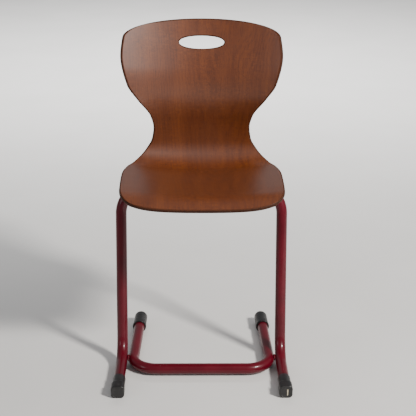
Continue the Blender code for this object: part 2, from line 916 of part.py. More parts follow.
def floor_path():
    """Rear end, forward along one runner, across the crossbar and back."""
    rear = to_y(CAP_END_WALL + TUBE_END_GAP)
    cross = to_y(CROSSBAR_FROM_REAR)
    narrow = RUNNER_X - RUNNER_TOE_IN
    corners = (
        (-narrow, rear, FLOOR_AXIS_Z),
        (-RUNNER_X, cross, FLOOR_AXIS_Z),
        (RUNNER_X, cross, FLOOR_AXIS_Z),
        (narrow, rear, FLOOR_AXIS_Z),
    )
    return bent_path(corners, (FLOOR_BEND_RADIUS, FLOOR_BEND_RADIUS))


def rounded_square(angle, half_wide, top, bottom, corner):
    """Point of a rounded rectangle about the tube's axis, at an even share of angle."""
    centre = (top - bottom) / 2
    half_tall = (top + bottom) / 2
    dx = math.cos(angle)
    dz = math.sin(angle)
    wide = half_wide - corner
    tall = half_tall - corner
    low = 0.0
    high = 2 * (half_wide + half_tall)
    for _ in range(40):
        reach = (low + high) / 2
        over_x = max(abs(dx * reach) - wide, 0.0)
        over_z = max(abs(dz * reach) - tall, 0.0)
        inside = math.hypot(over_x, over_z) <= corner
        if inside:
            low = reach
        else:
            high = reach
    return dx * low, centre + dz * low


def make_front_cap(side, name, material):
    """Thin sleeve over the tube, then a squared foot block with a flat sole."""
    x = side * LEG_X
    rear_of_cap = FRAME_LENGTH - FRONT_CAP_LENGTH
    block_start = FRAME_LENGTH - FRONT_BLOCK_LENGTH
    stages = (
        (rear_of_cap, 0.0, 0.0),
        (block_start - 0.004, 0.0, 0.0),
        (block_start, 1.0, 0.0),
        (FRAME_LENGTH - 0.0016, 1.0, 0.0),
        (FRAME_LENGTH, 1.0, 0.0016),
    )
    loops = []
    for forward, square, inset in stages:
        loop = []
        for j in range(CAP_SEGMENTS):
            angle = 2 * math.pi * (j + 0.5) / CAP_SEGMENTS
            round_x = FRONT_SLEEVE_RADIUS * math.cos(angle)
            round_z = FRONT_SLEEVE_RADIUS * math.sin(angle)
            block_x, block_z = rounded_square(
                angle,
                FRONT_BLOCK_WIDTH / 2 - inset,
                FRONT_BLOCK_TOP - inset,
                FLOOR_AXIS_Z - inset,
                FRONT_BLOCK_CORNER - inset,
            )
            px = round_x + (block_x - round_x) * square
            pz = round_z + (block_z - round_z) * square
            loop.append(Vector((x + px, to_y(forward), FLOOR_AXIS_Z + pz)))
        loops.append(loop)
    bore = []
    for forward in (FRAME_LENGTH - CAP_END_WALL, rear_of_cap):
        loop = []
        for j in range(CAP_SEGMENTS):
            angle = 2 * math.pi * (j + 0.5) / CAP_SEGMENTS
            px = CAP_BORE * math.cos(angle)
            pz = CAP_BORE * math.sin(angle)
            loop.append(Vector((x + px, to_y(forward), FLOOR_AXIS_Z + pz)))
        bore.append(loop)
    return make_cap(name, loops, bore, material)


def make_cap(name, loops, bore, material):
    """Outer loops end in a closed face, inner loops start from one, rims joined."""
    points, faces = stitch(loops, closed_start=False)
    count = len(loops[0])
    first = len(points)
    inner_points, inner_faces = stitch(bore, closed_start=True, closed_end=False)
    points += inner_points
    faces += [tuple(first + v for v in face) for face in inner_faces]
    mouth = first + count
    for j in range(count):
        k = (j + 1) % count
        faces.append((j, k, mouth + k, mouth + j))
    return make_object(name, points, faces, material, smooth_angle=35.0)


def make_rear_cap(side, name, material):
    """Thick sleeve with a flared mouth, a rounded far end and a flat along the sole."""
    narrow = RUNNER_X - RUNNER_TOE_IN
    run = CROSSBAR_FROM_REAR - CAP_END_WALL - TUBE_END_GAP
    lean = RUNNER_TOE_IN / run

    def centre_x(forward):
        return side * (narrow + lean * (forward - CAP_END_WALL - TUBE_END_GAP))

    ball = REAR_END_ROUND
    stages = [(REAR_CAP_LENGTH, REAR_RIM_RADIUS - 0.0006)]
    stages.append((REAR_CAP_LENGTH - 0.0006, REAR_RIM_RADIUS))
    stages.append((REAR_CAP_LENGTH - REAR_RIM_LENGTH, REAR_RIM_RADIUS))
    stages.append((REAR_CAP_LENGTH - REAR_RIM_LENGTH - 0.0008, REAR_CAP_RADIUS))
    for i in range(5):
        angle = math.pi / 2 * i / 4
        stages.append((ball * (1 - math.sin(angle)), REAR_CAP_RADIUS - ball * (1 - math.cos(angle))))
    loops = []
    for forward, radius in stages:
        loop = []
        for j in range(CAP_SEGMENTS):
            angle = 2 * math.pi * (j + 0.5) / CAP_SEGMENTS
            px = radius * math.cos(angle)
            pz = max(radius * math.sin(angle), -FLOOR_AXIS_Z)
            loop.append(Vector((centre_x(forward) + px, to_y(forward), FLOOR_AXIS_Z + pz)))
        loops.append(loop)
    bore = []
    for forward in (CAP_END_WALL, REAR_CAP_LENGTH):
        loop = []
        for j in range(CAP_SEGMENTS):
            angle = 2 * math.pi * (j + 0.5) / CAP_SEGMENTS
            px = CAP_BORE * math.cos(angle)
            pz = CAP_BORE * math.sin(angle)
            loop.append(Vector((centre_x(forward) + px, to_y(forward), FLOOR_AXIS_Z + pz)))
        bore.append(loop)
    return make_cap(name, loops, bore, material)


def nearest_on(path, point):
    best = path[0]
    for a, b in zip(path, path[1:]):
        run = b - a
        share = min(max((point - a).dot(run) / run.length_squared, 0.0), 1.0)
        spot = a + run * share
        if (point - spot).length < (point - best).length:
            best = spot
    return best


def groove_centre(side, forward, radius, paths):
    """Centre of a bead that lies in the groove above both tubes and meets each of them."""
    reach = TUBE_RADIUS + GAP + radius
    point = Vector((side * (LEG_X + RUNNER_X) / 2, to_y(forward), FLOOR_AXIS_Z + TUBE_OD))
    for _ in range(80):
        for path in paths:
            away = point - nearest_on(path, point)
            point += away.normalized() * (reach - away.length)
            point.y = to_y(forward)
    return point


def make_foot_weld(side, name, material):
    """Short bead in the groove above the line where the two tubes meet."""
    steps = 8
    paths = (arch_path(), floor_path())
    path = []
    sizes = []
    for i in range(steps + 1):
        share = i / steps
        forward = FOOT_WELD_FROM_REAR + FOOT_WELD_LENGTH * (share - 0.5)
        size = FOOT_WELD_RADIUS * max(math.sqrt(1 - (2 * share - 1) ** 2), 0.25)
        path.append(groove_centre(side, forward, size, paths))
        sizes.append(size)
    loops = []
    for (centre, across, up), size in zip(path_frames(path), sizes):
        loop = []
        for j in range(10):
            angle = 2 * math.pi * j / 10
            arm = across * math.cos(angle) + up * math.sin(angle)
            loop.append(centre + arm * size)
        loops.append(loop)
    points, faces = stitch(loops)
    return make_object(name, points, faces, material)


# ---------------------------------------------------------------- assembly


def build_chair():
    clear_scene()
    wood = make_material("moulded_plywood", (0.20, 0.072, 0.026), 0.32, 0.0)
    steel = make_material("red_powder_coat", (0.115, 0.010, 0.014), 0.38, 0.0)
    weld = make_material("coated_weld", (0.105, 0.010, 0.013), 0.45, 0.0)
    plastic = make_material("black_moulded_plastic", (0.030, 0.030, 0.032), 0.50, 0.0)
    pad_plastic = make_material("grey_spacer_plastic", (0.060, 0.060, 0.062), 0.60, 0.0)
    zinc = make_material("zinc_plated_steel", (0.55, 0.54, 0.50), 0.30, 1.0)
    brass = make_material("brass_insert", (0.55, 0.40, 0.16), 0.35, 1.0)

    shell = make_shell(wood)
    make_tube("main_frame_tube", arch_path(), steel)
    make_tube("floor_tube", floor_path(), steel)
    for side, hand in ((-1, "left"), (1, "right")):
        make_front_cap(side, f"{hand}_front_foot_cap", plastic)
        make_rear_cap(side, f"{hand}_rear_foot_cap", plastic)
        make_foot_weld(side, f"{hand}_foot_weld", weld)
        make_bearer(side, f"{hand}_seat_bearer", steel)
        make_pad(side, f"{hand}_spacer_pad", pad_plastic)
        make_bearer_weld(side, -1, f"{hand}_bearer_weld_front", weld)
        make_bearer_weld(side, 1, f"{hand}_bearer_weld_rear", weld)
        for place, back in zip(("front", "rear"), screw_places()):
            make_fixing(f"{hand}_{place}", side * BEARER_X, back, shell, zinc, brass)


build_chair()
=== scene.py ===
"""Looks for the stacking chair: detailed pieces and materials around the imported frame."""

import json
import math

import bmesh
import bpy
from mathutils import Matrix, Vector


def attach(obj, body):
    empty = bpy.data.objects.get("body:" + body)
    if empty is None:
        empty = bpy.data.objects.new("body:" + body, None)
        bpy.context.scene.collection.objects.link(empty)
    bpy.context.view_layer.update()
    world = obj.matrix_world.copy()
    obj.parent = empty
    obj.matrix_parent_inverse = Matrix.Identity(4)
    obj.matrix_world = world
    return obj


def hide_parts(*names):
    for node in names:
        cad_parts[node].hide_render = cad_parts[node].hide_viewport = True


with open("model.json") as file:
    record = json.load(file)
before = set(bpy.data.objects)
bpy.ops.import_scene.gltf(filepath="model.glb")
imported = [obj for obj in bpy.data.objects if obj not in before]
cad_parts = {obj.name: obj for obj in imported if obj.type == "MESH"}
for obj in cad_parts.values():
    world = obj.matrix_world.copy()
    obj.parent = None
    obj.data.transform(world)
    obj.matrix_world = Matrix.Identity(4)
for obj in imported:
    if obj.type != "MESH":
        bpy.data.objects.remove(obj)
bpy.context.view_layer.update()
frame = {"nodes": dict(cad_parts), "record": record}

# ------------------------------------------------------------ sizes, as in the CAD
GAP = 0.0003
TUBE_RADIUS = 0.013
TUBE_WALL = 0.002
FRAME_LENGTH = 0.399
HALF_LENGTH = FRAME_LENGTH / 2
LEG_X = 0.1913
FLOOR_AXIS_Z = 0.0155
LEG_ROOT_FROM_REAR = 0.2158
LEG_LEAN = math.radians(10.2)
LEG_BEND_RADIUS = 0.060
SHOULDER_RADIUS = 0.068
CROSSBAR_FROM_REAR = 0.289
FLOOR_BEND_RADIUS = 0.056
RUNNER_X = LEG_X - 2 * TUBE_RADIUS - 0.0004
RUNNER_TOE_IN = 0.0076
CAP_BORE = TUBE_RADIUS + GAP
CAP_END_WALL = 0.005
TUBE_END_GAP = 0.001
FRONT_SLEEVE_RADIUS = CAP_BORE + 0.0014
FRONT_CAP_LENGTH = 0.061
FRONT_BLOCK_LENGTH = 0.026
FRONT_BLOCK_WIDTH = 0.0306
FRONT_BLOCK_TOP = 0.0148
FRONT_BLOCK_CORNER = 0.0085
REAR_CAP_LENGTH = 0.064
REAR_CAP_RADIUS = 0.0163
REAR_RIM_RADIUS = 0.0172
REAR_RIM_LENGTH = 0.006
REAR_END_ROUND = 0.007

# ------------------------------------------------------------ detail finer than the CAD's
TUBE_SEGMENTS = 56
CAP_SEGMENTS = 72
FRONT_MOUTH_CHAMFER = 0.0003
FRONT_MOUTH_FACE = 0.0007
SLEEVE_RING_START = 0.004
SLEEVE_RING_SPAN = 0.028
SLEEVE_RINGS = 6
FRONT_STEP_LENGTH = 0.004
FRONT_STEP_RINGS = 8
BLOCK_RING_PITCH = 0.004
FRONT_END_ROUND = 0.0020
FRONT_DISH_DEPTH = 0.0006
FRONT_DISH_INSETS = (0.0045, 0.0052, 0.0100)
REAR_MOUTH_CHAMFER = 0.0004
REAR_MOUTH_FACE = 0.0009
REAR_RIM_ROUND = 0.0012
REAR_GROOVES = 3
REAR_GROOVE_START = 0.012
REAR_GROOVE_PITCH = 0.010
REAR_GROOVE_DEPTH = 0.00035
REAR_TIP_RADIUS = 0.004

# ------------------------------------------------------------ shell sizes, as in the CAD
PLY_THICKNESS = 0.0093
PLY_EDGE_ROUND = 0.003
LIP_RADIUS = 0.127
LIP_DROP = math.radians(30.0)
PAN_LENGTH = 0.217
PAN_SLOPE = math.radians(2.9)
PAN_REAR_BEHIND_TUBE = 0.032
PAN_REAR_HEIGHT = 0.4523
HIP_RADIUS = 0.054
HIP_TURN = math.radians(93.0)
LUMBAR_LOWER_RADIUS = 0.212
LUMBAR_LOWER_TURN = math.radians(17.5)
LUMBAR_UPPER_RADIUS = 0.242
BACK_RECLINE = math.radians(12.0)
BACK_STRAIGHT = 0.1134
FRONT_CORNER_LENGTH = 0.112
FRONT_CORNER_POWER = 4.4
TOP_CORNER_LENGTH = 0.0448
TOP_CORNER_POWER = 2.05
GRIP_WIDTH = 0.105
GRIP_HEIGHT = 0.030
GRIP_FROM_TOP = 0.0551
GRIP_POWER = 2.1

BEARER_THICKNESS = 0.0032
PAD_MINIMUM = 0.0020
FIXING_STACK = PLY_THICKNESS + PAD_MINIMUM + BEARER_THICKNESS + 3 * GAP + TUBE_RADIUS
PAN_HEIGHT_AT_TUBE = PAN_REAR_HEIGHT + PAN_REAR_BEHIND_TUBE * math.tan(PAN_SLOPE)
CROSS_UP = PAN_HEIGHT_AT_TUBE - FIXING_STACK / math.cos(PAN_SLOPE)
CROSS_FORWARD = LEG_ROOT_FROM_REAR - (CROSS_UP - FLOOR_AXIS_Z) * math.tan(LEG_LEAN)
PAN_REAR_FROM_REAR = CROSS_FORWARD - PAN_REAR_BEHIND_TUBE


def to_y(from_rear):
    return HALF_LENGTH - from_rear


# ------------------------------------------------------------ mesh helpers
def new_piece(name, points, faces, material, sharp=35.0, uvs=None):
    """A mesh piece riding on the chair, with optional named UV maps given per vertex."""
    mesh = bpy.data.meshes.new(name)
    mesh.from_pydata([tuple(p) for p in points], [], faces)
    for label, values in (uvs or {}).items():
        layer = mesh.uv_layers.new(name=label)
        for loop in mesh.loops:
            layer.data[loop.index].uv = values[loop.vertex_index]
    build = bmesh.new()
    build.from_mesh(mesh)
    bmesh.ops.recalc_face_normals(build, faces=build.faces)
    for face in build.faces:
        face.smooth = True
    for edge in build.edges:
        if len(edge.link_faces) == 2:
            edge.smooth = edge.calc_face_angle() < math.radians(sharp)
    build.to_mesh(mesh)
    build.free()
    mesh.materials.append(material)
    obj = bpy.data.objects.new(name, mesh)
    bpy.context.scene.collection.objects.link(obj)
    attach(obj, "root")
    return obj


def stitch(loops, start=True, end=True, ring=False):
    count = len(loops[0])
    points = [p for loop in loops for p in loop]
    faces = []
    for i in range(len(loops) if ring else len(loops) - 1):
        a = i * count
        b = ((i + 1) % len(loops)) * count
        for j in range(count):
            k = (j + 1) % count
            faces.append((a + j, a + k, b + k, b + j))
    if not ring and start:
        faces.append(tuple(reversed(range(count))))
    if not ring and end:
        faces.append(tuple(range((len(loops) - 1) * count, len(loops) * count)))
    return points, faces


def bent_path(corners, radii, step=math.radians(2.5), straight=0.02):
    """Centre line through the corners, rounded, with points along the straights too."""
    path = [Vector(corners[0])]
    for before, corner, after, radius in zip(corners, corners[1:], corners[2:], radii):
        corner = Vector(corner)
        back = (Vector(before) - corner).normalized()
        ahead = (Vector(after) - corner).normalized()
        turn = math.pi - back.angle(ahead)
        start = corner + back * radius * math.tan(turn / 2)
        centre = corner + (back + ahead).normalized() * (radius / math.cos(turn / 2))
        axis = (start - centre).cross(-back).normalized()
        extend(path, start, straight)
        steps = max(2, round(turn / step))
        for i in range(steps + 1):
            path.append(centre + Matrix.Rotation(turn * i / steps, 3, axis) @ (start - centre))
    extend(path, Vector(corners[-1]), straight)
    path.append(Vector(corners[-1]))
    return path


def extend(path, target, straight):
    origin = path[-1].copy()
    count = int((target - origin).length / straight)
    for i in range(1, count):
        path.append(origin.lerp(target, i / count))


def path_frames(path):
    tangents = []
    for i in range(len(path)):
        ahead = path[min(i + 1, len(path) - 1)] - path[i]
        behind = path[i] - path[max(i - 1, 0)]
        tangents.append((ahead.normalized() + behind.normalized()).normalized())
    side = tangents[0].orthogonal().normalized()
    frames = []
    for i, tangent in enumerate(tangents):
        if i:
            side = tangents[i - 1].rotation_difference(tangent) @ side
        side = (side - tangent * side.dot(tangent)).normalized()
        frames.append((path[i], side, tangent.cross(side)))
    return frames


def turns(count, shift=0.0):
    return [2 * math.pi * (j + shift) / count for j in range(count)]


def tube_loops(frames, radius):
    return [
        [c + radius * (s * math.cos(angle) + u * math.sin(angle)) for angle in turns(TUBE_SEGMENTS)]
        for c, s, u in frames
    ]


# ------------------------------------------------------------ shell surface
def profile_nodes():
    """Runs of the side profile from the front lip up: start length, point, heading, length, turn."""
    upper_turn = LUMBAR_LOWER_TURN + BACK_RECLINE
    runs = (
        (LIP_RADIUS * LIP_DROP, -LIP_DROP),
        (PAN_LENGTH, 0.0),
        (HIP_RADIUS * HIP_TURN, HIP_TURN),
        (LUMBAR_LOWER_RADIUS * LUMBAR_LOWER_TURN, LUMBAR_LOWER_TURN),
        (LUMBAR_UPPER_RADIUS * upper_turn, -upper_turn),
        (BACK_STRAIGHT, 0.0),
    )
    nodes = []
    point, heading, s = (0.0, 0.0), LIP_DROP - PAN_SLOPE, 0.0
    for length, turn in runs:
        nodes.append((s, point, heading, length, turn))
        forward, up, heading = along_run(point, heading, length, turn, length)
        point = (forward, up)
        s += length
    move = (PAN_REAR_FROM_REAR - nodes[2][1][0], PAN_REAR_HEIGHT - nodes[2][1][1])
    return [(a, (p[0] + move[0], p[1] + move[1]), h, n, t) for a, p, h, n, t in nodes]


def along_run(start, heading, length, turn, s):
    bend = turn * s / length
    chord = s if abs(turn) < 1e-9 else 2 * (length / turn) * math.sin(bend / 2)
    aim = heading + bend / 2
    return start[0] - math.cos(aim) * chord, start[1] + math.sin(aim) * chord, heading + bend


PROFILE = profile_nodes()
SHELL_LENGTH = PROFILE[-1][0] + PROFILE[-1][3]
PAN_START, PAN_END, HIP_END = PROFILE[1][0], PROFILE[2][0], PROFILE[3][0]
WIDTH_STATIONS = (
    0.0, 0.199, 0.2842, 0.3141, 0.3539, 0.379,
    0.411, 0.4437, 0.4936, 0.5235, 0.585, SHELL_LENGTH,
)
HALF_WIDTHS = (
    0.1806, 0.1847, 0.1748, 0.1618, 0.1345, 0.1196,
    0.1150, 0.1209, 0.1523, 0.1718, 0.1858, 0.1757,
)
HOLLOW_STATIONS = (
    0.0, PAN_START + 0.040, PAN_END, HIP_END - 0.010,
    HIP_END + 0.060, HIP_END + 0.130, SHELL_LENGTH,
)
HOLLOWS = (0.42, 0.81, 0.92, 0.69, 1.45, 2.51, 2.45)
SHELL_COLUMNS, SHELL_ROWS = 72, 150
GRIP_COLUMNS, GRIP_ROWS, GRIP_RINGS = 28, 12, 6
EDGE_STEPS = 6
EDGE_RIM_FADE = 1.6
SHEET_MIDDLE = 0.5
ARCH_ASIDE = 0.075


def profile_at(s):
    run = PROFILE[0]
    for candidate in PROFILE:
        if candidate[0] <= s:
            run = candidate
    start, point, heading, length, turn = run
    return along_run(point, heading, length, turn, s - start)


def smooth_through(stations, values, s):
    last = len(stations) - 1
    s = min(max(s, stations[0]), stations[last])
    steps = [stations[i + 1] - stations[i] for i in range(last)]
    slopes = [(values[i + 1] - values[i]) / steps[i] for i in range(last)]
    tangents = [0.0] * (last + 1)
    for i in range(1, last):
        if slopes[i - 1] * slopes[i] > 0:
            w1 = 2 * steps[i] + steps[i - 1]
            w2 = steps[i] + 2 * steps[i - 1]
            tangents[i] = (w1 + w2) / (w1 / slopes[i - 1] + w2 / slopes[i])
    k = 0
    while k < last - 1 and s > stations[k + 1]:
        k += 1
    t = (s - stations[k]) / steps[k]
    return (
        values[k] * (1 + 2 * t) * (1 - t) ** 2
        + steps[k] * tangents[k] * t * (1 - t) ** 2
        + values[k + 1] * t * t * (3 - 2 * t)
        + steps[k] * tangents[k + 1] * t * t * (t - 1)
    )


def half_width(s):
    return smooth_through(WIDTH_STATIONS, HALF_WIDTHS, s)


def hollow(s):
    """Curvature across the sheet, in 1/m."""
    return smooth_through(HOLLOW_STATIONS, HOLLOWS, s)


def face_point(x, s, offset=0.0):
    forward, up, heading = profile_at(s)
    rise = hollow(s) * x * x / 2
    base = Vector((x, -(forward + math.sin(heading) * rise), up + math.cos(heading) * rise))
    return base if offset == 0.0 else base + face_normal(x, s) * offset


def face_normal(x, s):
    near = 0.0005
    across = face_point(x + near, s) - face_point(x - near, s)
    along = face_point(x, s + near) - face_point(x, s - near)
    return across.cross(along).normalized()


def placed(point):
    return Vector((point.x, point.y + HALF_LENGTH, point.z))


def signed_power(value, power):
    return math.copysign(abs(value) ** power, value)


def edge_half(s):
    share = 1.0
    if s < FRONT_CORNER_LENGTH:
        deep = (FRONT_CORNER_LENGTH - s) / FRONT_CORNER_LENGTH
        share = (1 - deep ** FRONT_CORNER_POWER) ** (1 / FRONT_CORNER_POWER)
    if SHELL_LENGTH - s < TOP_CORNER_LENGTH:
        deep = (TOP_CORNER_LENGTH - (SHELL_LENGTH - s)) / TOP_CORNER_LENGTH
        share = (1 - deep ** TOP_CORNER_POWER) ** (1 / TOP_CORNER_POWER)
    return share * half_width(s)


def outline_point(side, level):
    """Point (x, s) on the outline for a point on the border of the square from -1 to 1."""
    if abs(side) >= abs(level):
        front = FRONT_CORNER_LENGTH * (1 - 0.5 ** (1 / FRONT_CORNER_POWER))
        top = SHELL_LENGTH - TOP_CORNER_LENGTH * (1 - 0.5 ** (1 / TOP_CORNER_POWER))
        s = front + (top - front) * (level / abs(side) + 1) / 2
        return math.copysign(edge_half(s), side), s
    power = FRONT_CORNER_POWER if level < 0 else TOP_CORNER_POWER
    across = 0.5 ** (1 / power) * side / abs(level)
    drop = (1 - abs(across) ** power) ** (1 / power)
    if level < 0:
        s = FRONT_CORNER_LENGTH * (1 - drop)
    else:
        s = SHELL_LENGTH - TOP_CORNER_LENGTH * (1 - drop)
    return across * half_width(s), s


def sheet_point(u, v):
    """Spreads the square from -1 to 1 over the sheet, blended from its four sides."""
    left, right = outline_point(-1.0, v), outline_point(1.0, v)
    front, top = outline_point(u, -1.0), outline_point(u, 1.0)
    fl, fr = outline_point(-1.0, -1.0), outline_point(1.0, -1.0)
    tl, tr = outline_point(-1.0, 1.0), outline_point(1.0, 1.0)
    a, b = (u + 1) / 2, (v + 1) / 2
    result = []
    for i in range(2):
        sides = (1 - a) * left[i] + a * right[i]
        ends = (1 - b) * front[i] + b * top[i]
        corners = (
            (1 - a) * (1 - b) * fl[i] + a * (1 - b) * fr[i] + (1 - a) * b * tl[i] + a * b * tr[i]
        )
        result.append(sides + ends - corners)
    return tuple(result)


def sheet_grid():
    """Flat points (x, s) and quads of one face of the sheet, and its outer and grip border loops."""
    columns, rows = SHELL_COLUMNS, SHELL_ROWS
    flat = [
        sheet_point(2 * i / columns - 1, 2 * j / rows - 1)
        for j in range(rows + 1)
        for i in range(columns + 1)
    ]

    def index(i, j):
        return j * (columns + 1) + i

    middle = SHELL_LENGTH - GRIP_FROM_TOP
    nearest = min(range(rows + 1), key=lambda j: abs(flat[index(columns // 2, j)][1] - middle))
    left = columns // 2 - GRIP_COLUMNS // 2
    right = left + GRIP_COLUMNS
    low = nearest - GRIP_ROWS // 2
    high = low + GRIP_ROWS
    quads = []
    for j in range(rows):
        for i in range(columns):
            if not (left <= i < right and low <= j < high):
                quads.append((index(i, j), index(i + 1, j), index(i + 1, j + 1), index(i, j + 1)))
    block = [index(i, low) for i in range(left, right)]
    block += [index(right, j) for j in range(low, high)]
    block += [index(i, high) for i in range(right, left, -1)]
    block += [index(left, j) for j in range(high, low, -1)]
    grip = grip_rings(flat, quads, block, middle)
    outer = [index(i, 0) for i in range(columns)]
    outer += [index(columns, j) for j in range(rows)]
    outer += [index(i, rows) for i in range(columns, 0, -1)]
    outer += [index(0, j) for j in range(rows, 0, -1)]
    return flat, quads, (outer, grip[::-1])


def grip_rings(flat, quads, block, middle):
    """Adds rings from the block's square border in to the slot, and returns the slot's loop."""
    rising = []
    for b in block:
        x, s = flat[b]
        angle = math.atan2(
            signed_power((s - middle) / GRIP_HEIGHT, GRIP_POWER / 2),
            signed_power(x / GRIP_WIDTH, GRIP_POWER / 2),
        )
        while rising and angle <= rising[-1]:
            angle += 2 * math.pi
        rising.append(angle)
    even = [(a + rising[0] + 2 * math.pi * k / len(block)) / 2 for k, a in enumerate(rising)]
    previous = block
    for ring in range(1, GRIP_RINGS + 1):
        share = ring / GRIP_RINGS
        current = []
        for b, angle in zip(block, even):
            slot_x = GRIP_WIDTH / 2 * signed_power(math.cos(angle), 2 / GRIP_POWER)
            slot_s = middle + GRIP_HEIGHT / 2 * signed_power(math.sin(angle), 2 / GRIP_POWER)
            x, s = flat[b]
            current.append(len(flat))
            flat.append((x * (1 - share) + slot_x * share, s * (1 - share) + slot_s * share))
        for k in range(len(block)):
            m = (k + 1) % len(block)
            quads.append((previous[k], previous[m], current[m], current[k]))
        previous = current
    return previous


def edge_section():
    """Rounded section of the sheet's edge: reach past the outline (0 or less), height from mid-sheet."""
    half = PLY_THICKNESS / 2
    section = []
    for i in range(EDGE_STEPS + 1):
        angle = math.pi / 2 * (1 - i / EDGE_STEPS)
        outward = PLY_EDGE_ROUND * (math.cos(angle) - 1)
        section.append((outward, half - PLY_EDGE_ROUND + PLY_EDGE_ROUND * math.sin(angle)))
    return section + [(out, -up) for out, up in section[::-1]]


def make_shell(material, edge_material):
    flat, quads, loops = sheet_grid()
    inset = {}
    for loop in loops:
        for k, vertex in enumerate(loop):
            before, after = flat[loop[k - 1]], flat[loop[(k + 1) % len(loop)]]
            run = Vector((after[0] - before[0], after[1] - before[1])).normalized()
            inset[vertex] = (flat[vertex], Vector((run.y, -run.x)))
    points, sheet, ply, faces = [], [], [], []
    for offset in (0.0, -PLY_THICKNESS):
        for i, (x, s) in enumerate(flat):
            if i in inset:
                x -= inset[i][1].x * PLY_EDGE_ROUND
                s -= inset[i][1].y * PLY_EDGE_ROUND
            points.append(placed(face_point(x, s, offset)))
            sheet.append((x + SHEET_MIDDLE, s))
            ply.append((-offset / PLY_THICKNESS, 0.0))
    count = len(flat)
    for quad in quads:
        faces.append(quad)
        faces.append(tuple(count + v for v in reversed(quad)))
    half, section = PLY_THICKNESS / 2, edge_section()
    for loop in loops:
        bands = [list(loop)]
        for out, up in section[1:-1]:
            rim = min(1.0, (out + PLY_EDGE_ROUND) / PLY_EDGE_ROUND * EDGE_RIM_FADE)
            band = []
            for vertex in loop:
                (x, s), outward = inset[vertex]
                band.append(len(points))
                px, ps = x + outward.x * out, s + outward.y * out
                points.append(placed(face_point(px, ps, up - half)))
                sheet.append((px + SHEET_MIDDLE, ps))
                ply.append(((half - up) / PLY_THICKNESS, rim))
            bands.append(band)
        bands.append([count + v for v in loop])
        for near, far in zip(bands, bands[1:]):
            for k in range(len(loop)):
                m = (k + 1) % len(loop)
                faces.append((near[k], near[m], far[m], far[k]))
    maps = {"sheet": sheet, "ply": ply}
    shell = new_piece(
        "shell_veneered", points, faces, material, sharp=70.0, uvs=maps
    )
    shell.data.materials.append(edge_material)
    for face in shell.data.polygons[2 * len(quads):]:
        face.material_index = 1
    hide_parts("seat_shell")


# ------------------------------------------------------------ materials
VENEER_TONES = (
    (0.28, (0.048, 0.0095, 0.0014)),
    (0.46, (0.094, 0.0205, 0.0026)),
    (0.58, (0.132, 0.0320, 0.0042)),
    (0.76, (0.190, 0.0540, 0.0085)),
)
PORE_COLOUR = (0.030, 0.006, 0.002)
GLUED_LAYERS = 3.5
EDGE_LAYER_COLOURS = ((0.018, 0.0050, 0.0022), (0.070, 0.0200, 0.0070))
EDGE_PORE_COLOUR = (0.014, 0.004, 0.002)
EDGE_RIM_COLOUR = (0.050, 0.0120, 0.0030)
COAT_TONES = (
    (0.30, (0.066, 0.0008, 0.0058)),
    (0.55, (0.083, 0.0011, 0.0074)),
    (0.75, (0.100, 0.0018, 0.0094)),
)
CHIP_COLOUR = (0.060, 0.045, 0.042)
GRIT_COLOUR = (0.18, 0.03, 0.035)
FOOT_DARK = (0.0055, 0.0052, 0.0054)
FOOT_LIGHT = (0.0150, 0.0144, 0.0147)
RUB_X, RUB_HEIGHT = 0.1951, 0.0140
RUB_COLOUR = (0.50, 0.44, 0.32)


